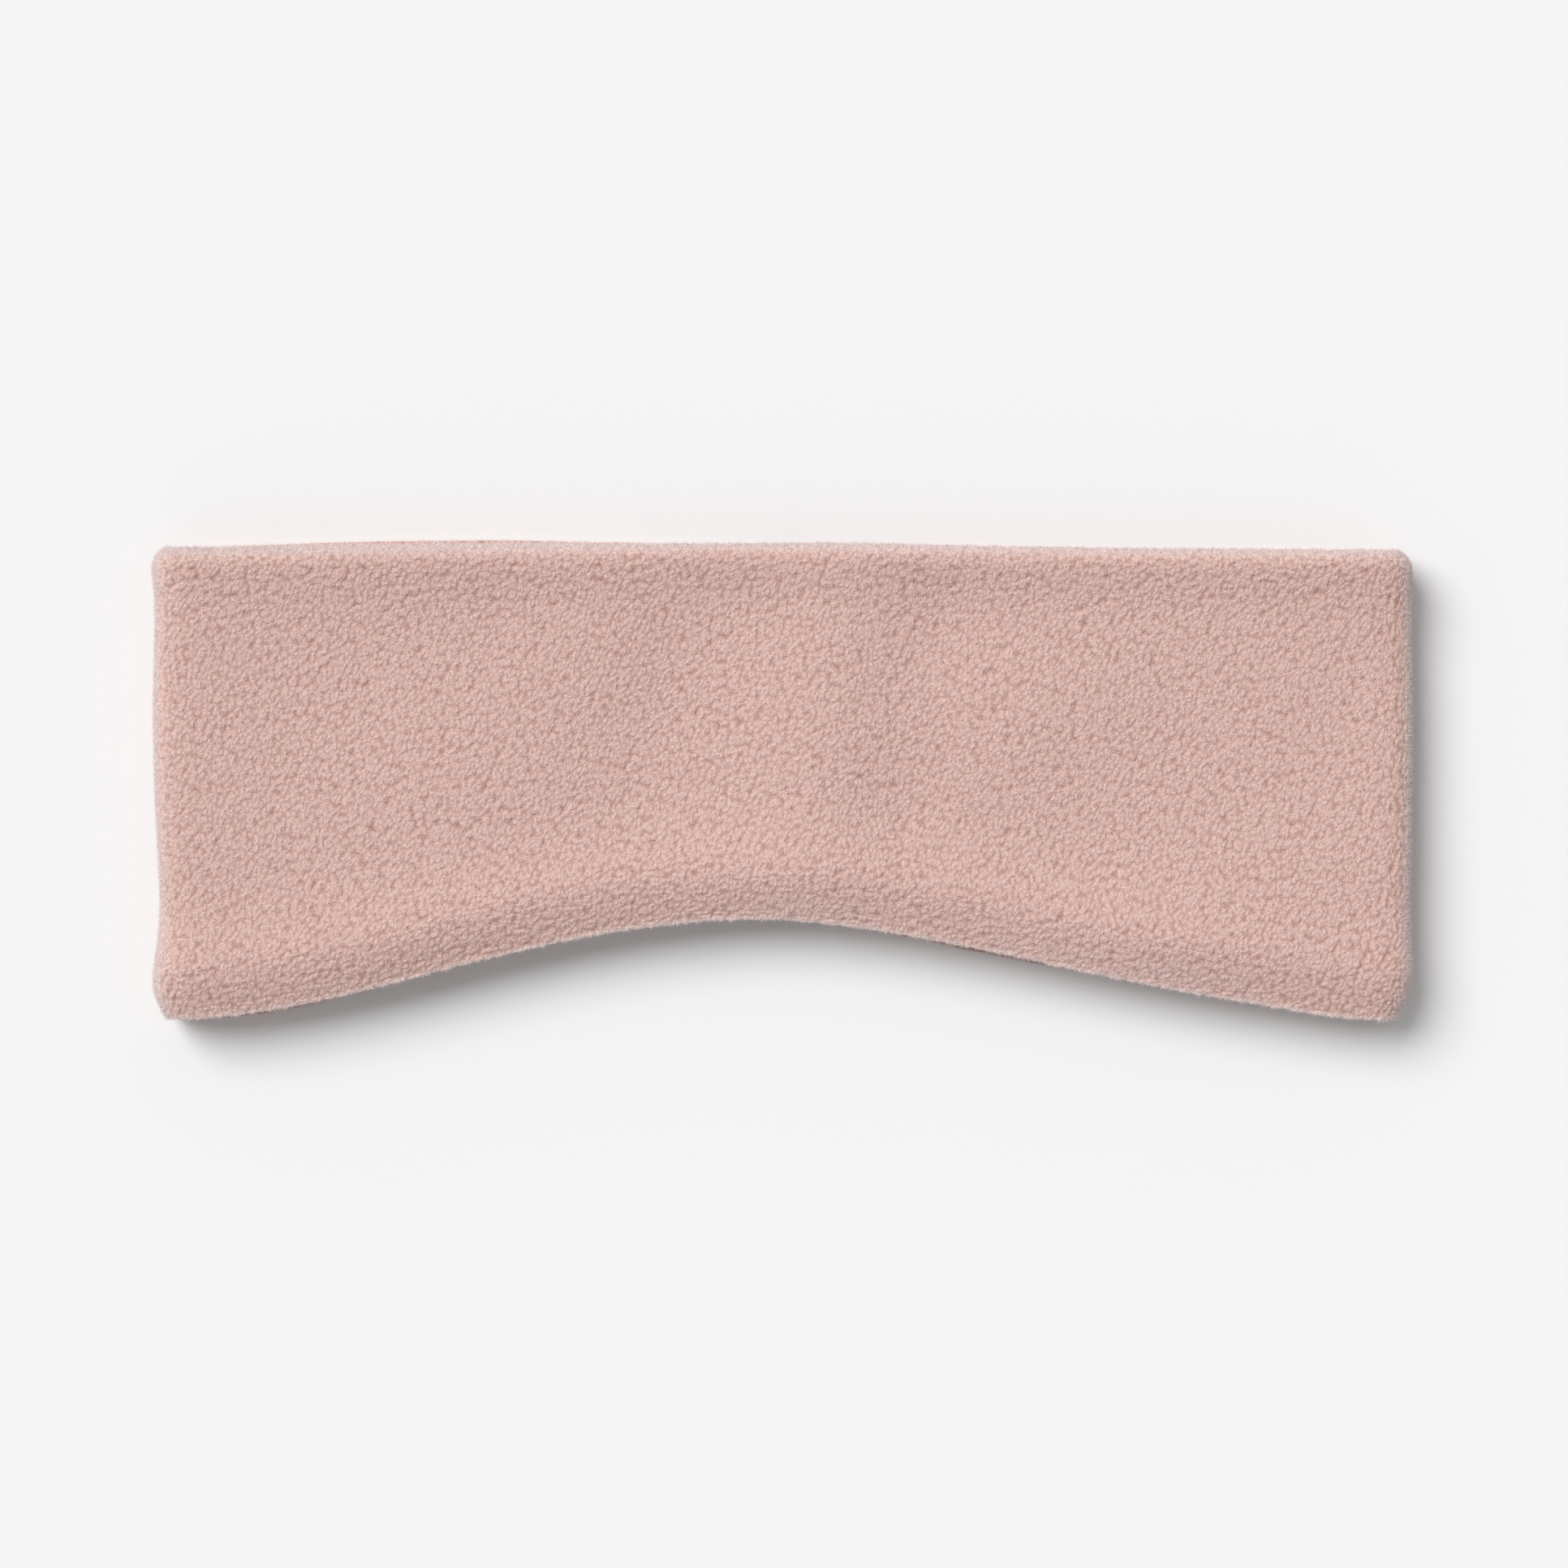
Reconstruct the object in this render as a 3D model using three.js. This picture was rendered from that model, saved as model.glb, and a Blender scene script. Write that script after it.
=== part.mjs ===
// A fleece headband that covers the ears, lying doubled on a flat surface: the front half on top, the back
// half under it, and a soft fold at each ear. It is a wall of two layers, an outer band and a lining of the
// same fleece. They are sewn together along both edges and turned right side out, so that each edge is a
// rounded roll with its seam hidden in a groove. Each layer is one strip, closed into a loop by a seam at the
// back of the head. X runs from fold to fold, Y towards the straight top edge, and Z up from the surface.
// Sizes are millimetres.

import * as THREE from 'three';
import { LoftGeometry } from 'three/addons/geometries/LoftGeometry.js';

// Driving dimensions
const FLAT_LENGTH = 249.4;    // from fold to fold
const FLEECE = 1.9;           // thickness of one layer
const LAYER_GAP = 0.3;        // air between the two layers
const HOLLOW = 5.2;           // free height between the two halves, where the head goes
const BODY_RISE = -0.3;       // the front half sags a little between its two edge rolls
const BEND_SHARE = 0.35;      // share of a rise that bends the whole wall; the rest is the outer layer's loft
const LINING_ROLL = 0.35;     // share of an edge roll that shows on the lining
const BLUNTNESS = 0.4;        // power of the nose's curve on the back half and the lining, whose edges stay fat
const SEAM_HALF_WIDTH = 1.5;  // groove of the seam at the centre of the back
const SEAM_DEPTH = 0.8;

// How finely the loft is divided
const FRONT_STEPS = 38;
const BACK_STEPS = 16;
const FOLD_STEPS = 9;
const BODY_ROWS = 7;

// Sizes that follow from them
const WALL = 2 * FLEECE + LAYER_GAP;
const BACK_LEVEL = WALL / 2;
const FOLD_RADIUS = (WALL + HOLLOW) / 2;                    // of the wall's middle line round an ear
const HALF_RUN = FLAT_LENGTH / 2 - FOLD_RADIUS - WALL / 2;  // from the middle to where a fold begins
const FOLD_LEVEL = BACK_LEVEL + FOLD_RADIUS;
const FOLD_SQUARENESS = 3.6;  // power of the superellipse that a fold follows: 2 is round, and 4 nearly a square

// Where the two edges run, on the front half and on the back half under it. The band is deep over the ears,
// and its bottom edge arches up over the forehead and at the back of the head.
const EDGES = [
  { x: -125, frontTop: 46.3, frontBottom: -47.4, backTop: 46.3, backBottom: -47.4 },
  { x: -118, frontTop: 46.3, frontBottom: -47.7, backTop: 46.6, backBottom: -48.3 },
  { x: -104, frontTop: 46.4, frontBottom: -46.3, backTop: 47.2, backBottom: -47.4 },
  { x: -85, frontTop: 46.7, frontBottom: -42.6, backTop: 47.9, backBottom: -43.0 },
  { x: -60, frontTop: 46.9, frontBottom: -36.1, backTop: 48.2, backBottom: -35.8 },
  { x: -35, frontTop: 46.9, frontBottom: -30.7, backTop: 47.8, backBottom: -30.4 },
  { x: -8, frontTop: 47.1, frontBottom: -27.9, backTop: 47.0, backBottom: -27.6 },
  { x: 15, frontTop: 47.1, frontBottom: -29.6, backTop: 46.7, backBottom: -29.6 },
  { x: 40, frontTop: 46.5, frontBottom: -34.1, backTop: 46.3, backBottom: -35.0 },
  { x: 65, frontTop: 46.2, frontBottom: -39.5, backTop: 46.0, backBottom: -39.5 },
  { x: 90, frontTop: 46.0, frontBottom: -44.1, backTop: 45.8, backBottom: -43.9 },
  { x: 118, frontTop: 45.8, frontBottom: -47.9, backTop: 45.8, backBottom: -47.9 },
  { x: 125, frontTop: 45.8, frontBottom: -47.5, backTop: 45.8, backBottom: -47.5 },
];

// How far each fold stands out past a straight line, at heights between the edges.
const FOLD_OUTLINE = [
  { y: -48, left: -1.0, right: -2.0 },
  { y: -43, left: -0.4, right: -1.4 },
  { y: -36, left: -1.1, right: -1.1 },
  { y: -26, left: -1.2, right: -0.5 },
  { y: -8, left: -0.3, right: -0.1 },
  { y: 14, left: 0.2, right: 0.2 },
  { y: 37, left: -0.4, right: -0.4 },
  { y: 47, left: -1.0, right: -1.8 },
];
const FOLD_REACH = 30; // how far in from its fold that outline fades out

// Going in from an edge: the share of the layer's thickness that the rounded nose has reached, and how far
// the roll over the seam allowance stands proud of the flat cloth.
const BOTTOM_ROLL = [
  { inset: 0.0, nose: 0.1, rise: 0.0 },
  { inset: 1.2, nose: 0.33, rise: 0.2 },
  { inset: 2.5, nose: 0.52, rise: 0.55 },
  { inset: 4.5, nose: 0.76, rise: 1.05 },
  { inset: 6.5, nose: 0.9, rise: 1.5 },
  { inset: 8.5, nose: 0.98, rise: 1.8 },
  { inset: 10.5, nose: 1.0, rise: 1.85 },
  { inset: 13.0, nose: 1.0, rise: 1.5 },
  { inset: 17.0, nose: 1.0, rise: 0.5 },
  { inset: 24.0, nose: 1.0, rise: -0.3 },
];
const TOP_ROLL = [
  { inset: 0.0, nose: 0.1, rise: 0.0 },
  { inset: 0.5, nose: 0.5, rise: 0.45 },
  { inset: 1.5, nose: 0.87, rise: 1.25 },
  { inset: 3.0, nose: 1.0, rise: 1.8 },
  { inset: 5.0, nose: 1.0, rise: 1.6 },
  { inset: 8.5, nose: 1.0, rise: 0.65 },
  { inset: 12.0, nose: 1.0, rise: -0.1 },
  { inset: 18.0, nose: 1.0, rise: -0.3 },
];

// The soft dents and swells of the front half: the place of each, its two half lengths, how far its long side
// is turned from Y towards X in degrees, and its height.
const SOFT_RELIEF = [
  { name: 'roll at the top left', x: -84, y: 38, long: 26, wide: 7, turn: 88, rise: 1.1 },
  { name: 'roll beside the left fold', x: -122, y: 6, long: 32, wide: 14, turn: 0, rise: 1.3 },
  { name: 'left swell', x: -68, y: -2, long: 22, wide: 13, turn: 60, rise: 0.8 },
  { name: 'swell left of the forehead', x: -38, y: 26, long: 15, wide: 8, turn: 60, rise: 0.6 },
  { name: 'dip left of the forehead', x: -22, y: 16, long: 16, wide: 7, turn: 22, rise: -0.9 },
  { name: 'forehead swell', x: 10, y: 14, long: 28, wide: 9, turn: 10, rise: 1.6 },
  { name: 'crease right of it', x: 28, y: 28, long: 11, wide: 5.5, turn: 35, rise: -0.7 },
  { name: 'dent right of it', x: 25, y: -1, long: 9, wide: 5.5, turn: 30, rise: -0.8 },
  { name: 'swell over the arch', x: 20, y: -20, long: 22, wide: 7, turn: 95, rise: 0.6 },
  { name: 'right swell', x: 48, y: 12, long: 20, wide: 9, turn: 65, rise: 1.0 },
  { name: 'swell above the lower right edge', x: 88, y: -27, long: 30, wide: 10, turn: 78, rise: 1.4 },
  { name: 'dip at the right fold', x: 117, y: 24, long: 16, wide: 6, turn: 30, rise: -0.6 },
];

// A smooth curve through one or more columns of a table, against its first column.
function curveThrough(table, along, columns) {
  const places = table.map((row) => row[along]);
  const values = table.flatMap((row) => columns.map((column) => row[column]));
  const curve = new THREE.CubicInterpolant(places, values, columns.length);
  const last = places.length - 1;
  return (place) => {
    const found = [...curve.evaluate(THREE.MathUtils.clamp(place, places[0], places[last]))];
    return Object.fromEntries(columns.map((column, i) => [column, found[i]]));
  };
}

const edgesAt = curveThrough(EDGES, 'x', ['frontTop', 'frontBottom', 'backTop', 'backBottom']);
const foldOutlineAt = curveThrough(FOLD_OUTLINE, 'y', ['left', 'right']);

// How far a point moves along X because its fold isn't straight.
function foldShift(x, y) {
  const nearness = THREE.MathUtils.smoothstep(Math.abs(x), FLAT_LENGTH / 2 - FOLD_REACH, HALF_RUN);
  const outline = foldOutlineAt(y);
  return nearness * (x < 0 ? -outline.left : outline.right);
}

function reliefAt(x, y) {
  let height = 0;
  for (const swell of SOFT_RELIEF) {
    const turn = THREE.MathUtils.degToRad(swell.turn);
    const across = (x - swell.x) * Math.cos(turn) - (y - swell.y) * Math.sin(turn);
    const along = (x - swell.x) * Math.sin(turn) + (y - swell.y) * Math.cos(turn);
    height += swell.rise * Math.exp(-((across / swell.wide) ** 2 + (along / swell.long) ** 2) / 2);
  }
  return height;
}

const signedPower = (value, power) => Math.sign(value) * Math.abs(value) ** power;

// Places round the loop: along the front half, round the right fold, back along the back half and round the
// left fold. front is 1 on the front half and 0 on the back half, up is the share that faces straight up, and
// seam is 1 in the middle of the seam.
function loopStations() {
  const evenly = (steps) => Array.from({ length: steps + 1 }, (_, i) => HALF_RUN * (2 * i / steps - 1));
  const fold = (side, fromDegrees) =>
    Array.from({ length: FOLD_STEPS - 1 }, (_, i) => {
      const angle = THREE.MathUtils.degToRad(fromDegrees - 180 * (i + 1) / FOLD_STEPS);
      const along = signedPower(Math.cos(angle), 2 / FOLD_SQUARENESS);
      const up = signedPower(Math.sin(angle), 2 / FOLD_SQUARENESS);
      const normal = new THREE.Vector2(
        signedPower(along, FOLD_SQUARENESS - 1), signedPower(up, FOLD_SQUARENESS - 1),
      ).normalize();
      const { x: nx, y: nz } = normal;
      return {
        x: side * HALF_RUN + FOLD_RADIUS * along,
        z: FOLD_LEVEL + FOLD_RADIUS * up,
        nx, nz, front: (1 + nz) / 2, up: Math.max(0, nz), seam: 0,
      };
    });
  const front = evenly(FRONT_STEPS).map((x) => (
    { x, z: FOLD_LEVEL + FOLD_RADIUS, nx: 0, nz: 1, front: 1, up: 1, seam: 0 }
  ));
  const backPlaces = [...evenly(BACK_STEPS), -SEAM_HALF_WIDTH, SEAM_HALF_WIDTH].sort((a, b) => b - a);
  const back = backPlaces.map((x) => (
    { x, z: BACK_LEVEL, nx: 0, nz: -1, front: 0, up: 0, seam: Math.max(0, 1 - Math.abs(x) / SEAM_HALF_WIDTH) }
  ));
  return [...front, ...fold(1, 90), ...back, ...fold(-1, -90)];
}

// The rows of a face from the bottom edge to the top edge.
function rowsBetween(bottom, top) {
  const low = bottom + BOTTOM_ROLL.at(-1).inset;
  const high = top - TOP_ROLL.at(-1).inset;
  const body = Array.from({ length: BODY_ROWS }, (_, i) => (
    { y: THREE.MathUtils.lerp(low, high, (i + 1) / (BODY_ROWS + 1)), nose: 1, rise: BODY_RISE }
  ));
  return [
    ...BOTTOM_ROLL.map((row) => ({ ...row, y: bottom + row.inset })),
    ...body,
    ...TOP_ROLL.map((row) => ({ ...row, y: top - row.inset })).reverse(),
  ];
}

// One closed section of a layer. side is 1 for the outer band and -1 for the lining. Its face has a point at
// every row, and its hidden side, towards the other layer, at every second row.
function layerSection(station, side) {
  const edges = edgesAt(station.x);
  const bottom = THREE.MathUtils.lerp(edges.backBottom, edges.frontBottom, station.front);
  const top = THREE.MathUtils.lerp(edges.backTop, edges.frontTop, station.front);
  const rows = rowsBetween(bottom, top).map((row) => {
    const bulge = station.front * row.rise + station.up * row.nose * reliefAt(station.x, row.y);
    const bend = BEND_SHARE * bulge;
    const loft = side > 0 ? bulge - bend : LINING_ROLL * Math.max(0, row.rise);
    const hidden = bend + side * LAYER_GAP / 2;
    const nose = row.nose ** (side > 0 ? THREE.MathUtils.lerp(BLUNTNESS, 1, station.front) : BLUNTNESS);
    const face = hidden + side * nose * (FLEECE + loft - SEAM_DEPTH * station.seam);
    return { y: row.y, face, hidden };
  });
  const point = (y, offset) => new THREE.Vector3(
    station.x + station.nx * offset + foldShift(station.x, y),
    y,
    station.z + station.nz * offset,
  );
  const faceSide = rows.map((row) => point(row.y, row.face));
  const hiddenSide = rows.filter((_, i) => i % 2 === 1).map((row) => point(row.y, row.hidden));
  return side > 0 ? [...hiddenSide, ...faceSide.reverse()] : [...faceSide, ...hiddenSide.reverse()];
}

// A layer is a loft through its sections that comes back to the first one.
function makeLayer(name, side, colour) {
  const sections = loopStations().map((station) => layerSection(station, side));
  const geometry = new LoftGeometry([...sections, sections[0]]);
  const material = new THREE.MeshStandardMaterial({ color: colour, roughness: 0.95, metalness: 0 });
  const mesh = new THREE.Mesh(geometry, material);
  mesh.name = name;
  return mesh;
}

const headband = new THREE.Group();
headband.add(makeLayer('outer_band', 1, '#d8b3a9'));
headband.add(makeLayer('lining_band', -1, '#d5afa5'));

// The origin is the middle of the footprint, on the surface.
const middle = new THREE.Box3().setFromObject(headband).getCenter(new THREE.Vector3());
headband.position.set(-middle.x, -middle.y, 0);

export default headband;
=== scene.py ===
# %% [markdown]
# # A fleece headband, lying doubled
#
# The real thing is two loops of pebbled polyester fleece, an outer band and a lining, sewn together along
# both edges and turned right side out. It lies folded at the ears, with the front half on top. The frame
# already holds both layers as plain closed solids at their real size. This lesson keeps their form, makes
# their cloth fine enough to carry a nap, raises the clumps of the pile as real relief, adds the loose fibres
# that soften its outline, and dyes it, with painted shade in the crevices of the pile and a painted sheen
# where it turns over.

# %% The frame and the units
import math

import bmesh
import bpy
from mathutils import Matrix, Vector


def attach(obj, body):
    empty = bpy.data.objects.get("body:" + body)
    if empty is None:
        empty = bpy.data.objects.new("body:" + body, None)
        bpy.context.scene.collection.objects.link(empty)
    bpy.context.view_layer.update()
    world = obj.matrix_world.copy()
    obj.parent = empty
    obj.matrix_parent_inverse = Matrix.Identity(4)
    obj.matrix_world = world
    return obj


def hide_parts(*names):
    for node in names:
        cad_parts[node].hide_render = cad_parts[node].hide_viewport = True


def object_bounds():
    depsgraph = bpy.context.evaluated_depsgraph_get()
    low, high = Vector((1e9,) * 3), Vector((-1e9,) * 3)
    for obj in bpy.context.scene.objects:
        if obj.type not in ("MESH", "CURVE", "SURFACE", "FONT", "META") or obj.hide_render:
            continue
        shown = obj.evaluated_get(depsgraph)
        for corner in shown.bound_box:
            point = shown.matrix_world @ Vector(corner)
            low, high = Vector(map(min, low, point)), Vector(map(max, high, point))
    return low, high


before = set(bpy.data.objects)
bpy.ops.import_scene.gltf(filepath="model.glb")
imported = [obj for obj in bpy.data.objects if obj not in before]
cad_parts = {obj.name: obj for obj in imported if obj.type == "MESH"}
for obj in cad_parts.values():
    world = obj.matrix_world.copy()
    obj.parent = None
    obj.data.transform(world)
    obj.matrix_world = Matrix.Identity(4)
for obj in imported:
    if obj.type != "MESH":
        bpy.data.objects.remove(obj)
cad_low, cad_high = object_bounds()
MM = 0.001
FOLD_RADIUS = 6.7 * MM           # from the middle of a fold at the ears to its outside
fold_level = cad_low.z + FOLD_RADIUS
straight = cad_high.x - FOLD_RADIUS  # from mid-front to the middle of a fold
print("solids", sorted(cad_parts), "box in mm", [round(s / MM, 1) for s in cad_high - cad_low])

# %% [markdown]
# ## The camera
#
# The photograph looks straight down on the band. A camera could be moved about until the picture fits. Here a
# long lens looks straight down too, and its height follows from the length of the band, which is known from
# the frame, and from the share of the picture that the band spans. So it fits without any trying.

# %% Camera above the band
PICTURE_SIDE = 1932              # pixels, both ways
BAND_IN_PICTURE = 1547           # pixels from fold to fold
BAND_MIDDLE_IN_PICTURE = (964.6, 962)
LENS = 100                       # millimetres, on a 36 mm wide sensor
SENSOR = 36

pixel = (cad_high.x - cad_low.x) / BAND_IN_PICTURE
distance = PICTURE_SIDE * pixel * LENS / SENSOR
camera_place = Vector((
    (PICTURE_SIDE / 2 - BAND_MIDDLE_IN_PICTURE[0]) * pixel,
    (BAND_MIDDLE_IN_PICTURE[1] - PICTURE_SIDE / 2) * pixel,
    fold_level + distance,
))
bpy.ops.object.camera_add(location=camera_place, rotation=(0, 0, 0))
camera = bpy.context.object
camera.data.lens = LENS
camera.data.sensor_width = SENSOR
bpy.context.scene.camera = camera
print("camera", [round(c, 4) for c in camera_place], "m, pixel", round(pixel / MM, 4), "mm")

# %% [markdown]
# ## The studio
#
# The ground of the photograph is an even off-white right to its borders, and only the soft shadow below and
# to the right of the band tells where the lamp stands. An area lamp near the band gives such a shadow too,
# but its light falls off with distance, so the ground would be brightest near it. A sun lamp's light doesn't
# fall off, and a wide sun gives the shadow its long soft edge. The white room round the band is the world's
# own light.

# %% The floor
FLOOR_SIZE = 12.0                # metres
FLOOR_TONE = "#f2f2f2"


def linear(hex_colour):
    """The linear colour that Blender's sockets take, from an sRGB hex value."""
    parts = [int(hex_colour[i:i + 2], 16) / 255 for i in (1, 3, 5)]
    return (*[p / 12.92 if p <= 0.04045 else ((p + 0.055) / 1.055) ** 2.4 for p in parts], 1.0)


bpy.ops.object.select_all(action="DESELECT")
bpy.ops.mesh.primitive_plane_add(size=FLOOR_SIZE)
floor = bpy.context.object
floor.name = "floor"
paper = bpy.data.materials.new("matt_studio_paper")  # without any shine, it shows the shadow and nothing else
paper.use_nodes = True
paper_surface = paper.node_tree.nodes["Principled BSDF"]
paper_surface.inputs["Base Color"].default_value = linear(FLOOR_TONE)
paper_surface.inputs["Roughness"].default_value = 1.0
paper_surface.inputs["Specular IOR Level"].default_value = 0.0
floor.data.materials.append(paper)
print("floor", [round(s, 1) for s in floor.dimensions], "m")

# %% The lamp
SUN_HEIGHT = 49                  # degrees above the floor
SUN_FROM = 140                   # degrees from +X, so from the picture's upper left
SUN_SPREAD = 38                  # degrees across, a large soft box
SUN_STRENGTH = 2.65

height, turn = math.radians(SUN_HEIGHT), math.radians(SUN_FROM)
towards_sun = Vector((
    math.cos(height) * math.cos(turn), math.cos(height) * math.sin(turn), math.sin(height),
))
bpy.ops.object.light_add(type="SUN", location=towards_sun)
sun = bpy.context.object
sun.rotation_euler = towards_sun.to_track_quat("Z", "Y").to_euler()
sun.data.energy = SUN_STRENGTH
sun.data.angle = math.radians(SUN_SPREAD)
print("sun towards", [round(c, 2) for c in towards_sun])

# %% The room
ROOM_LIGHT = 0.391

room = bpy.data.worlds.new("white_room")
room.use_nodes = True
room.node_tree.nodes["Background"].inputs["Color"].default_value = linear("#ffffff")
room.node_tree.nodes["Background"].inputs["Strength"].default_value = ROOM_LIGHT
bpy.context.scene.world = room
bpy.context.scene.view_settings.view_transform = "Standard"
bpy.context.scene.view_settings.look = "None"
print("room", room.name, "at strength", ROOM_LIGHT)

# %% [markdown]
# ## The cloth of each layer
#
# A layer could be built again from a flat strip, with Solidify for its thickness. But its form is already
# right in its own solid in the frame: the arched lower edge, the rolls over the seam allowances, the folds at
# the ears and the soft dents of the front half. So a copy of the solid is merged, its triangles are joined to
# quads, and one level of subdivision rounds it. The nap needs a much finer mesh than the form. The faces that
# carry pile, which grows on one side of a fleece only, are therefore cut finer, most of all where the cloth
# is seen.

# %% Helpers for working on one object
MERGED_WITHIN = 0.002 * MM


def work_on(piece, mode="OBJECT"):
    """Makes piece the only selected and active object, in object or edit mode."""
    if bpy.context.object and bpy.context.object.mode != "OBJECT":
        bpy.ops.object.mode_set(mode="OBJECT")
    bpy.ops.object.select_all(action="DESELECT")
    piece.select_set(True)
    bpy.context.view_layer.objects.active = piece
    if mode == "EDIT":
        bpy.ops.object.mode_set(mode="EDIT")


def apply_modifier(piece, kind, **settings):
    work_on(piece)
    modifier = piece.modifiers.new(kind.lower(), kind)
    for name, value in settings.items():
        setattr(modifier, name, value)
    bpy.ops.object.modifier_apply(modifier=modifier.name)


def triangles(piece):
    return sum(len(face.vertices) - 2 for face in piece.data.polygons)


def cloth_from(node, name):
    """A smooth quad mesh of a layer, from a merged copy of its solid."""
    piece = bpy.data.objects.new(name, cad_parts[node].data.copy())
    bpy.context.scene.collection.objects.link(piece)
    piece.data.materials.clear()
    work_on(piece, "EDIT")
    bpy.ops.mesh.select_all(action="SELECT")
    bpy.ops.mesh.remove_doubles(threshold=MERGED_WITHIN)
    bpy.ops.mesh.tris_convert_to_quads(face_threshold=math.pi, shape_threshold=math.pi)
    work_on(piece)
    faces = piece.data.polygons
    print(name, len(faces), "faces,", sum(len(f.vertices) != 4 for f in faces), "of them not quads")
    apply_modifier(piece, "SUBSURF", levels=1, render_levels=1)
    return piece


def facing(place, normal, outwards):
    """1 on the side of a layer that carries pile, 0 on its edges and -1 inside the wall."""
    middle = Vector((max(-straight, min(straight, place.x)), place.y, fold_level))
    return outwards * normal.dot((place - middle).normalized())


def cut_finer(piece, wanted, cuts):
    """Cuts each face that wanted(middle, normal) picks into (cuts + 1) squared faces."""
    work_on(piece, "EDIT")
    bpy.ops.mesh.select_mode(type="FACE")
    bpy.ops.mesh.select_all(action="DESELECT")
    mesh = bmesh.from_edit_mesh(piece.data)
    for face in mesh.faces:
        face.select_set(wanted(face.calc_center_median(), face.normal))
    bpy.ops.mesh.subdivide(number_cuts=cuts)
    work_on(piece)


# %% The outer band
PILE_SIDE = -0.35                # how a face has to be facing to be cut finer, a little past the edges
FRONT_CUTS = 3
BACK_CUTS = 1

outer = cloth_from("outer_band", "outer_fleece")
cut_finer(
    outer, lambda place, normal: place.z > fold_level and facing(place, normal, 1) > PILE_SIDE, FRONT_CUTS,
)
cut_finer(
    outer, lambda place, normal: place.z <= fold_level and facing(place, normal, 1) > PILE_SIDE, BACK_CUTS,
)
print("outer band", triangles(outer), "triangles")

# %% The lining
LINING_CUTS = 2

lining = cloth_from("lining_band", "lining_fleece")
cut_finer(lining, lambda place, normal: facing(place, normal, -1) > PILE_SIDE, LINING_CUTS)
print("lining", triangles(lining), "triangles")

# %% [markdown]
# ## The pattern of the pile
#
# Pebbled fleece is brushed and then tumbled, and its pile balls up into soft lumps about a millimetre
# across, drawn out a little the way it was brushed. They are themselves rough with smaller ones, down to
# single fibres. A picture of fleece could be laid on the cloth, but would repeat and have only one size.
# Nodes draw the pattern anew in real millimetres: Voronoi cells with melted borders give the lumps, and a
# fractal noise gives what is finer. The same function serves a Geometry Nodes modifier, which moves the
# vertices, and the material, which adds what is too fine for the mesh and paints shade into the crevices.

# %% Helpers for nodes
def add_node(tree, kind, links=(), **settings):
    """Adds a node. links maps its sockets to values or other nodes' outputs, settings its own options."""
    node = tree.nodes.new(kind)
    for name, value in settings.items():
        setattr(node, name, value)
    for socket, value in dict(links).items():
        if isinstance(value, bpy.types.NodeSocket):
            tree.links.new(value, node.inputs[socket])
        else:
            node.inputs[socket].default_value = value
    return node


def maths(tree, operation, *values):
    return add_node(tree, "ShaderNodeMath", dict(enumerate(values)), operation=operation).outputs[0]


def vector_maths(tree, operation, *values):
    return add_node(tree, "ShaderNodeVectorMath", dict(enumerate(values)), operation=operation).outputs[0]


def scaled_by(tree, vector, factor):
    return add_node(tree, "ShaderNodeVectorMath", {0: vector, "Scale": factor}, operation="SCALE").outputs[0]


# %% Draw the lumps
LUMP = 0.95                      # millimetres from one lump to the next
LUMP_WARP = 1.0                  # how far a noise pushes the lumps out of round, in millimetres
LUMP_LEAN = 0.42                 # radians that they lean to the right of upright, as the cloth was brushed
DRAWN_OUT = 1.25                 # and how much longer than wide they are that way
MELTED = 0.4                     # how far the border between two lumps is filled
MIDDLE = 0.5                     # of what a noise gives


def draw_lumps(tree, place, slanted):
    """The height of the lumps at a place on the cloth in millimetres."""
    wander = add_node(tree, "ShaderNodeTexNoise", {"Vector": slanted, "Scale": 1.0}).outputs["Color"]
    push = scaled_by(tree, vector_maths(tree, "SUBTRACT", wander, (MIDDLE, MIDDLE, MIDDLE)), LUMP_WARP)
    pushed = vector_maths(tree, "ADD", place, push)
    leaning = add_node(
        tree, "ShaderNodeVectorRotate", {"Vector": pushed, "Angle": LUMP_LEAN}, rotation_type="Z_AXIS",
    ).outputs[0]
    drawn_out = vector_maths(tree, "MULTIPLY", leaning, (1, 1 / DRAWN_OUT, 1))
    cells = add_node(
        tree, "ShaderNodeTexVoronoi", {"Vector": drawn_out, "Scale": 1 / LUMP, "Smoothness": MELTED},
        feature="SMOOTH_F1", voronoi_dimensions="2D",
    )
    return maths(tree, "SUBTRACT", 1.0, cells.outputs["Distance"])


# %% Draw the fibres over the lumps
LUMP_SHARE = 0.37                # of the height of the pile, and the rest is fibre
FIBRE = 0.6                      # millimetres, the coarsest of the fibres' own pattern
FINER = 4.0                      # how many times that pattern is repeated at half the size
STRENGTH = 0.7                   # of each repeat against the one before
SLANT_AXIS = (1, 2, 3)           # a noise has a grid, and turned about this axis
SLANT = 1.0                      # by so many radians it lies askew to the cloth and doesn't show


def draw_pile(tree, position, finer=FINER):
    """The height of the pile, about 0.53 on average, at a position on the cloth in metres."""
    place = scaled_by(tree, position, 1 / MM)
    slanted = add_node(
        tree, "ShaderNodeVectorRotate", {"Vector": place, "Axis": SLANT_AXIS, "Angle": SLANT},
    ).outputs[0]
    fibres = add_node(
        tree, "ShaderNodeTexNoise",
        {"Vector": slanted, "Scale": 1 / FIBRE, "Detail": finer, "Roughness": STRENGTH},
    ).outputs[0]
    lumps = maths(tree, "MULTIPLY", draw_lumps(tree, place, slanted), LUMP_SHARE)
    return maths(tree, "ADD", lumps, maths(tree, "MULTIPLY", fibres, 1 - LUMP_SHARE))


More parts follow.
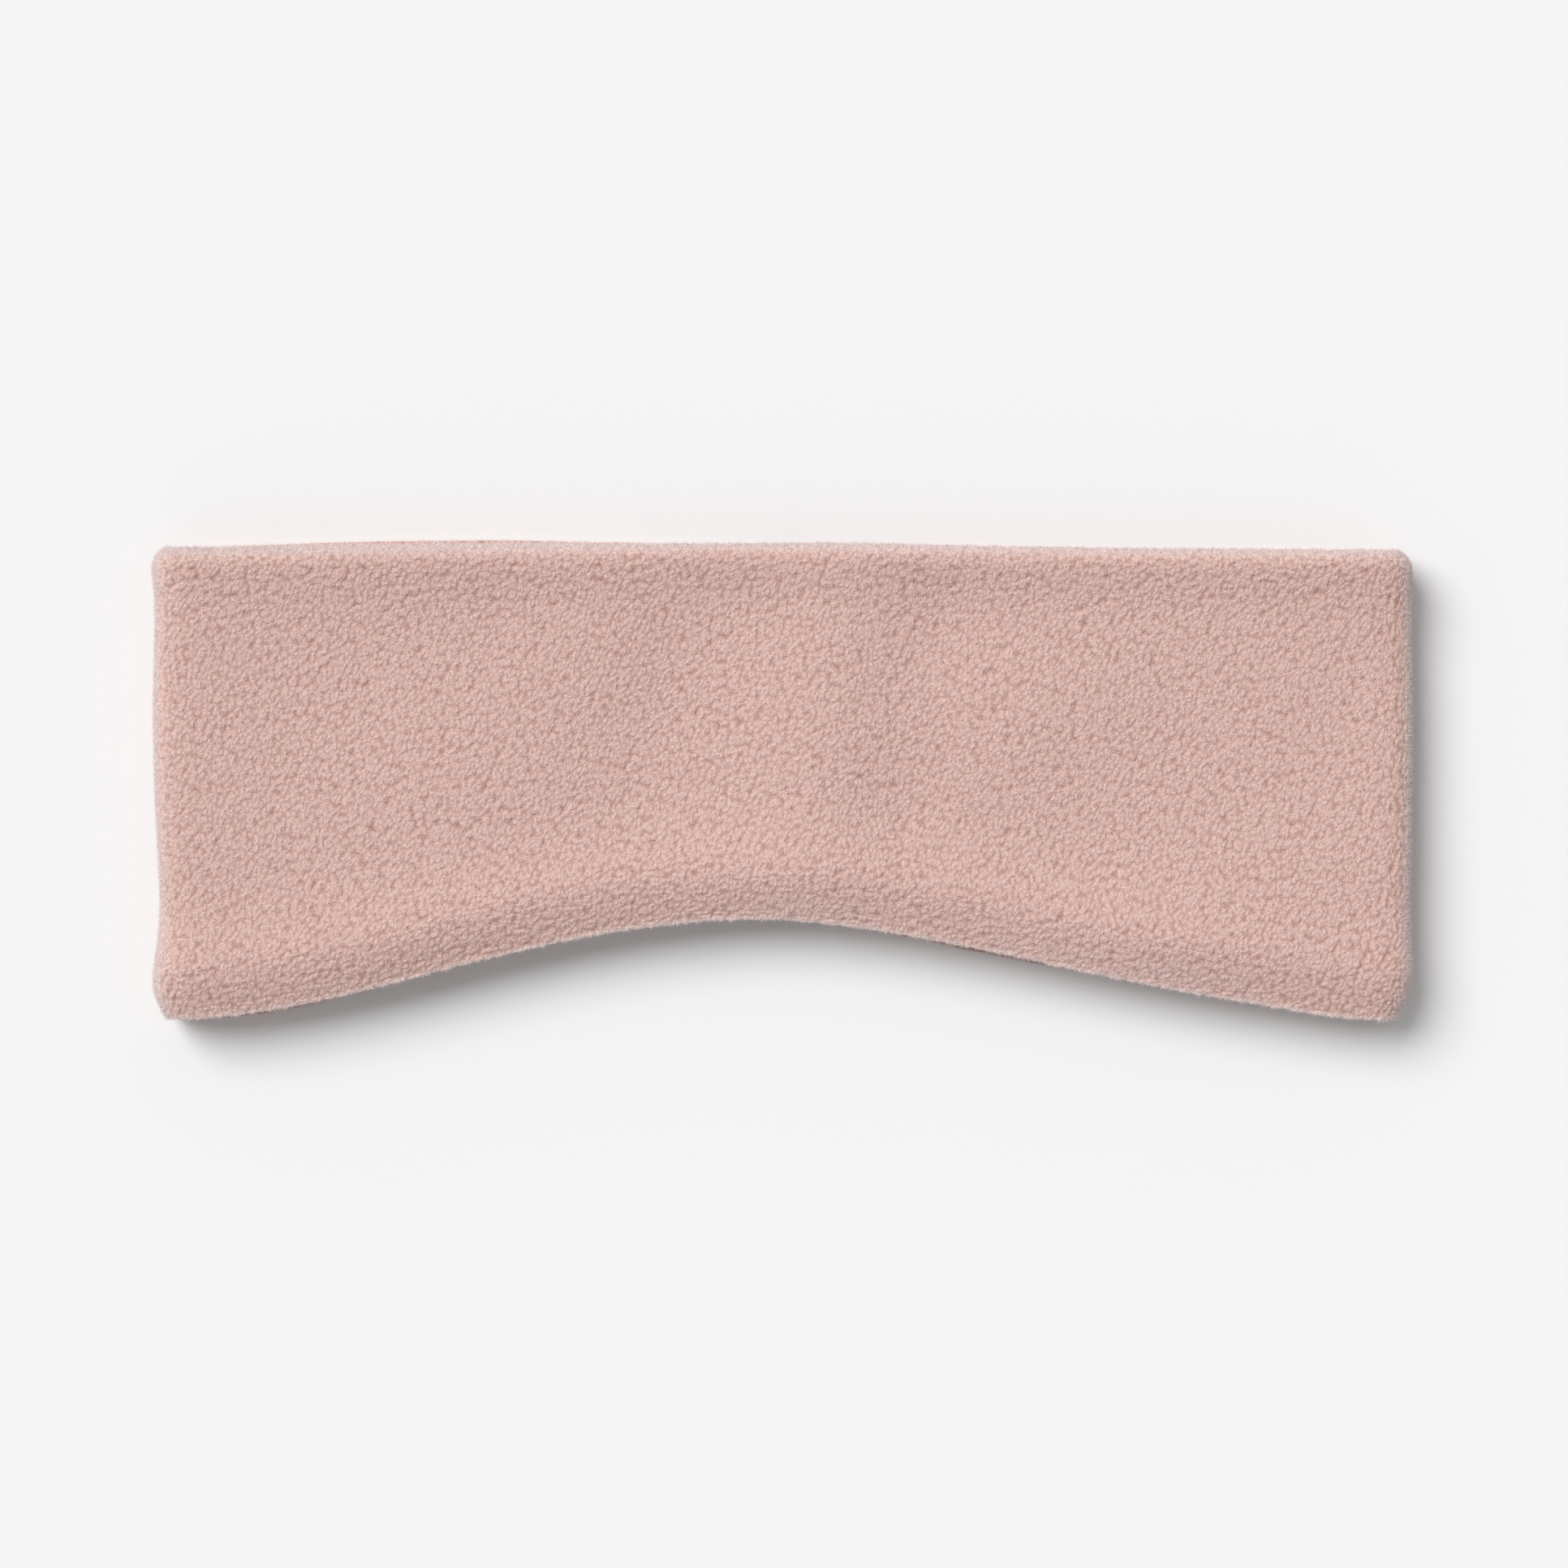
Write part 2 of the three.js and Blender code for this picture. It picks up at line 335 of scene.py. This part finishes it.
# %% [markdown]
# ## The cloth's own coordinates
#
# The pile grew on the flat cloth, before it was cut and sewn. A pattern drawn in space would be sliced by the
# cloth wherever it turns away, and its lumps would smear there. So the pattern is drawn on the flat strip
# that each layer was, and follows it round the folds. A UV map could hold the place of each point on that
# strip. An attribute holds it in metres, which keeps the pattern's real size: the way round the loop from
# mid-front, and the height.

# %% Lay the flat strip round a layer
OUTER_BEND = 7.2 * MM            # the radius that the outer band's pile runs round at a fold
LINING_BEND = 3.0 * MM           # and the lining's, inside it


def mark_cloth(piece, bend_radius):
    """Writes where each point is on its flat strip."""
    cloth = piece.data.attributes.new("cloth", "FLOAT_VECTOR", "POINT")
    for point in piece.data.vertices:
        x, y, z = point.co
        if abs(x) > straight:
            along = straight + bend_radius * math.atan2(abs(x) - straight, z - fold_level)
        elif z > fold_level:
            along = abs(x)
        else:
            along = 2 * straight + math.pi * bend_radius - abs(x)
        cloth.data[point.index].vector = (math.copysign(along, x), y, 0)
    print(piece.name, "is", round((4 * straight + 2 * math.pi * bend_radius) / MM), "mm round")


mark_cloth(outer, OUTER_BEND)
mark_cloth(lining, LINING_BEND)

# %% [markdown]
# ## Where the pile is, and where it stands open
#
# The pile covers one side of a layer, runs on round its edges and dies away behind them. Where the band lies
# on the floor, it is pressed flat. Where the cloth turns over, at the folds and along the sewn edges, the
# pile stands open, and one sees into it from the side. Both could be painted on the mesh as vertex weights.
# They are worked out instead, from where each point is and which way it faces, and kept in two attributes.

# %% Mark the pile
PILE_START = -0.75               # how a point is facing where the pile begins
PILE_GROWTH = 0.5                # and how much more it is facing where the pile is full
PRESSED_BELOW = 1.2 * MM         # the weight of the band presses its pile flat on what it lies on
UPRIGHT = 0.9                    # the cloth's normal points up by more where its pile is quite closed
TURN = 0.5                       # and by this much less where its pile stands quite open
EDGE_WIDTH = 1.2 * MM            # the pile also stands open along the sewn edges, this far in
UNDER_FOLD = 3 * MM              # no pile counts as open this far below the middle of a fold


def edges_of(piece):
    """The lowest and the highest y of the front half in each millimetre of x."""
    edges = {}
    for point in piece.data.vertices:
        if point.co.z > fold_level:
            low, high = edges.get(round(point.co.x / MM), (math.inf, -math.inf))
            edges[round(point.co.x / MM)] = (min(low, point.co.y), max(high, point.co.y))
    return edges


def mark_pile(piece, outwards):
    """Writes how much pile each point carries and how far it is turned over."""
    pile = piece.data.attributes.new("pile", "FLOAT", "POINT")
    turned_over = piece.data.attributes.new("turned_over", "FLOAT", "POINT")
    edges = edges_of(piece)
    for point in piece.data.vertices:
        grown = (facing(point.co, point.normal, outwards) - PILE_START) / PILE_GROWTH
        free = point.co.z / PRESSED_BELOW
        pile.data[point.index].value = max(0.0, min(1.0, grown, free))
        above = (point.co.z - fold_level) / UNDER_FOLD + 1
        low, high = edges.get(round(point.co.x / MM), (-math.inf, math.inf))
        near_edge = 1 - min(point.co.y - low, high - point.co.y) / EDGE_WIDTH
        open_pile = max(near_edge, (UPRIGHT - point.normal.z) / TURN)
        turned_over.data[point.index].value = max(0.0, min(1.0, open_pile, above))


mark_pile(outer, 1)
mark_pile(lining, -1)
for piece in (outer, lining):
    open_points = sum(value.value > 0 for value in piece.data.attributes["turned_over"].data)
    print(piece.name, "has", len(piece.data.vertices), "points,", open_points, "of them in open pile")

# %% [markdown]
# ## The nap
#
# The lumps are real hills and pits in the cloth, about 0.4 mm from top to bottom. A bump in the material
# could suggest them from above, but would leave the outline as smooth as plastic. So a small Geometry Nodes
# tree moves each point along its normal by the height of the pattern, as far as the point carries pile, and
# the modifier is applied.

# %% Raise the nap of a layer
NAP = 0.8 * MM                   # between the pattern's extremes; nearly all of the pile uses half of it
GROUND = 0.1 * MM                # how far the middle of the pattern lies under the surface of the solid
NAP_FINER = 1.0                  # how many finer repeats the mesh takes, and the material adds the rest


def new_tree(name):
    """A Geometry Nodes tree with its input and output nodes."""
    tree = bpy.data.node_groups.new(name, "GeometryNodeTree")
    tree.interface.new_socket("Geometry", in_out="INPUT", socket_type="NodeSocketGeometry")
    tree.interface.new_socket("Geometry", in_out="OUTPUT", socket_type="NodeSocketGeometry")
    return tree, tree.nodes.new("NodeGroupInput"), tree.nodes.new("NodeGroupOutput")


def named(tree, name, kind):
    return add_node(tree, "GeometryNodeInputNamedAttribute", {"Name": name}, data_type=kind).outputs[0]


def nap_modifier():
    tree, given, made = new_tree("raised_nap")
    pattern = draw_pile(tree, named(tree, "cloth", "FLOAT_VECTOR"), finer=NAP_FINER)
    raised = maths(tree, "MULTIPLY_ADD", maths(tree, "SUBTRACT", pattern, MIDDLE), NAP, -GROUND)
    lift = maths(tree, "MULTIPLY", raised, named(tree, "pile", "FLOAT"))
    normal = add_node(tree, "GeometryNodeInputNormal").outputs[0]
    moved = add_node(
        tree, "GeometryNodeSetPosition",
        {"Geometry": given.outputs[0], "Offset": scaled_by(tree, normal, lift)},
    )
    tree.links.new(moved.outputs[0], made.inputs[0])
    return tree


for piece in (outer, lining):
    apply_modifier(piece, "NODES", node_group=nap_modifier())
    work_on(piece)
    bpy.ops.object.shade_smooth()
    print(piece.name, "lowest point", round(min(point.co.z for point in piece.data.vertices) / MM, 2), "mm")

# %% [markdown]
# ## The loose fibres
#
# Single fibres stand out of the pile all over. Straight from above they only make it look soft. Where one
# looks along the cloth, at its rolled edges and at the folds, they add up to the pale fringe that softens its
# outline. Blender's hair could give such a fringe, but it is no mesh, and every piece here has to be one.
# So one fibre is a cone of three sides, and Geometry Nodes strews thousands of copies, each turned and
# stretched a little differently. The seeds are fixed, so that they come out the same each time.

# %% One fibre
FIBRE_LENGTH = 0.9 * MM
FIBRE_RADIUS = 0.05 * MM         # a few filaments that cling together

bpy.ops.object.select_all(action="DESELECT")
bpy.ops.mesh.primitive_cone_add(vertices=3, radius1=FIBRE_RADIUS, depth=FIBRE_LENGTH)
fibre = bpy.context.object
work_on(fibre, "EDIT")
bpy.ops.mesh.select_all(action="SELECT")
bpy.ops.transform.translate(value=(0, 0, FIBRE_LENGTH / 3))
work_on(fibre)
print("triangles in one fibre", triangles(fibre))

# %% How fibres are strewn over a layer
FIBRE_GAP = 0.1 * MM             # the nearest that two of them come
FACE_FIBRES = 0.4e6              # to a square metre, where one looks straight down on the cloth
EDGE_FIBRES = 36e6               # and where one looks along it
SLOPING = 0.75                   # the fringe starts where the cloth's normal points up or down by less
STEEP = 0.4                      # and is full where it does so by this much less again
FIBRE_LEAN = 1.1                 # radians that a fibre leans over at most
SMALLEST = (0.7, 0.7, 0.5)       # how far a fibre is thinned, both ways, and shortened
LARGEST = (1.4, 1.4, 1.3)        # and how far it is thickened and lengthened
FIBRE_SEED = 11


def random_vector(tree, low, high, seed):
    node = add_node(tree, "FunctionNodeRandomValue", {0: low, 1: high}, data_type="FLOAT_VECTOR")
    node.inputs["Seed"].default_value = seed
    return node.outputs[0]


def strewing(side):
    """A node group that turns a layer into the fibres on its right half, with side 1, or left, with -1."""
    tree, given, made = new_tree("strewn_fibres")
    spread = add_node(
        tree, "GeometryNodeDistributePointsOnFaces",
        {"Mesh": given.outputs[0], "Distance Min": FIBRE_GAP, "Density Max": EDGE_FIBRES,
         "Density Factor": named(tree, "fuzz", "FLOAT"), "Seed": FIBRE_SEED},
        distribute_method="POISSON",
    )
    position = add_node(tree, "GeometryNodeInputPosition").outputs[0]
    where = add_node(tree, "ShaderNodeSeparateXYZ", {0: position})
    other = maths(tree, "LESS_THAN", maths(tree, "MULTIPLY", where.outputs["X"], side), 0.0)
    points = add_node(
        tree, "GeometryNodeDeleteGeometry", {"Geometry": spread.outputs["Points"], "Selection": other},
        domain="POINT",
    )
    lean = random_vector(
        tree, (-FIBRE_LEAN, -FIBRE_LEAN, 0.0), (FIBRE_LEAN, FIBRE_LEAN, 2 * math.pi), seed=1,
    )
    turned = add_node(
        tree, "FunctionNodeRotateRotation", {"Rotation": spread.outputs["Rotation"], "Rotate By": lean},
        rotation_space="LOCAL",
    )
    source = add_node(tree, "GeometryNodeObjectInfo", {"Object": fibre})
    instances = add_node(
        tree, "GeometryNodeInstanceOnPoints",
        {"Points": points.outputs[0], "Instance": source.outputs["Geometry"], "Rotation": turned.outputs[0],
         "Scale": random_vector(tree, SMALLEST, LARGEST, seed=2)},
    )
    real = add_node(tree, "GeometryNodeRealizeInstances", {"Geometry": instances.outputs[0]})
    tree.links.new(real.outputs[0], made.inputs[0])
    return tree


def mark_fibres(piece):
    """Writes how many of the loose fibres each point carries, as a share of those at an edge."""
    fuzz = piece.data.attributes.new("fuzz", "FLOAT", "POINT")
    pile = piece.data.attributes["pile"].data
    turned_over = piece.data.attributes["turned_over"].data
    for point in piece.data.vertices:
        steep = min(1.0, max(0.0, (SLOPING - abs(point.normal.z)) / STEEP))
        on_face = FACE_FIBRES / EDGE_FIBRES if point.co.z > fold_level else 0.0
        share = max(steep, turned_over[point.index].value, on_face)
        fuzz.data[point.index].value = pile[point.index].value * share


def strewn(layer, name, side):
    """The loose fibres on one half of a layer, as a piece."""
    piece = bpy.data.objects.new(name, layer.data.copy())
    bpy.context.scene.collection.objects.link(piece)
    apply_modifier(piece, "NODES", node_group=strewing(side))
    piece.data.materials.clear()
    print(name, triangles(piece), "triangles")
    return piece


# %% Strew the fibres
mark_fibres(outer)
outer_fuzz = [strewn(outer, "outer_fuzz_left", -1), strewn(outer, "outer_fuzz_right", 1)]
bpy.data.objects.remove(fibre)

# %% [markdown]
# ## The dye, with painted shade and a painted sheen
#
# The light that reaches the crevices has passed through dyed fibres, so the shade there is not grey
# but a stronger pink. Light that scatters under the surface could be used for this. Here that shade is
# painted: the colour simply follows the height of the pile, which the nodes draw already, from a darker,
# stronger pink low down to the pile's own colour on the crests. The ends of single fibres add a fine grain
# of the same two colours. Where the pile stands open, a pale sheen is painted into the colour, for the
# light that it catches when one looks along it. Such pile also catches the light from above, whichever
# way the cloth under it slopes, so there the material's normal is drawn back towards the vertical.

# %% Fleece
PILE_BUMP = 0.9 * MM             # the depth of the pattern that the material adds to the nap
CREVICE, CREST = 0.2, 0.7        # heights of the pile between which its colour changes
FIBRE_ENDS = 0.27 * MM           # from one bundle of fibre ends to the next
GRAIN = 0.85                     # of the pile's height, that they add to its colour
# a painted sheen: a pale colour mixed in where the pile stands open, for the light it catches along the
# outline
PAINTED_SHEEN = 0.55                     # share of the pale colour where the pile stands quite open
PAINTED_SHEEN_COLOUR = "#efe7e5"
SCATTER = 0.6                    # the pull of the vertical there, against 1 for the cloth's own normal


def fleece(name, crest, shaded_crevice):
    """Matt brushed polyester, with painted shade in its crevices and a painted sheen where it turns over."""
    material = bpy.data.materials.new(name)
    material.use_nodes = True
    tree = material.node_tree
    surface = tree.nodes["Principled BSDF"]
    position = add_node(tree, "ShaderNodeAttribute", attribute_name="cloth").outputs["Vector"]
    height = draw_pile(tree, position)
    ends = add_node(tree, "ShaderNodeTexNoise", {"Vector": position, "Scale": 1 / FIBRE_ENDS}).outputs[0]
    depth = maths(tree, "MULTIPLY_ADD", maths(tree, "SUBTRACT", ends, MIDDLE), GRAIN, height)
    # from painted shade, a darker and stronger pink, in the crevices to the pile's own colour on the crests
    ramp = add_node(tree, "ShaderNodeValToRGB", {"Fac": depth})
    ramp.color_ramp.elements[0].position = CREVICE
    ramp.color_ramp.elements[0].color = linear(shaded_crevice)
    ramp.color_ramp.elements[1].position = CREST
    ramp.color_ramp.elements[1].color = linear(crest)
    turned_over = add_node(tree, "ShaderNodeAttribute", attribute_name="turned_over").outputs["Fac"]
    # the painted pale sheen where the pile turns over
    colour = add_node(
        tree, "ShaderNodeMixRGB",
        {"Fac": maths(tree, "MULTIPLY", turned_over, PAINTED_SHEEN), "Color1": ramp.outputs["Color"],
         "Color2": linear(PAINTED_SHEEN_COLOUR)},
    )
    tree.links.new(colour.outputs[0], surface.inputs["Base Color"])
    bump = add_node(tree, "ShaderNodeBump", {"Height": height, "Distance": PILE_BUMP, "Strength": 1.0})
    pull = maths(tree, "MULTIPLY", turned_over, SCATTER)
    upwards = add_node(tree, "ShaderNodeCombineXYZ", {"Z": pull}).outputs[0]
    drawn_up = vector_maths(tree, "ADD", bump.outputs[0], upwards)
    tree.links.new(vector_maths(tree, "NORMALIZE", drawn_up), surface.inputs["Normal"])
    surface.inputs["Roughness"].default_value = 0.95
    surface.inputs["Specular IOR Level"].default_value = 0.1
    surface.inputs["Sheen Weight"].default_value = 0.35
    surface.inputs["Sheen Roughness"].default_value = 0.5
    surface.inputs["Sheen Tint"].default_value = linear("#fff2ee")
    return material


# the second colour of each fleece is painted shade for the crevices of the pile
outer.data.materials.append(fleece("pebbled_polyester_fleece", "#f6d4ca", "#bc897e"))
lining.data.materials.append(fleece("pebbled_lining_fleece", "#f3d1c7", "#b8857a"))
for piece in (outer, lining):
    print(piece.name, "is of", piece.data.materials[0].name)


# %% Single fibres
def loose_fibres():
    """Single polyester filaments, which let light through and so look paler than the cloth."""
    material = bpy.data.materials.new("loose_polyester_fibres")
    material.use_nodes = True
    surface = material.node_tree.nodes["Principled BSDF"]
    surface.inputs["Base Color"].default_value = linear("#ecdedc")
    surface.inputs["Roughness"].default_value = 0.8
    surface.inputs["Specular IOR Level"].default_value = 0.2
    return material


filaments = loose_fibres()
for piece in outer_fuzz:
    piece.data.materials.append(filaments)
    print(piece.name, "is of", piece.data.materials[0].name)

# %% [markdown]
# ## Hand over
#
# Nothing on the band moves by itself, so every piece rides on the one body. The two layers take the place of
# their solids, which are hidden.

# %% Ride and replace
for piece, node, slot in ((outer, "outer_band", "outer_fleece"), (lining, "lining_band", "lining_fleece")):
    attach(piece, "root")
    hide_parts(node)
for piece in outer_fuzz:
    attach(piece, "root")
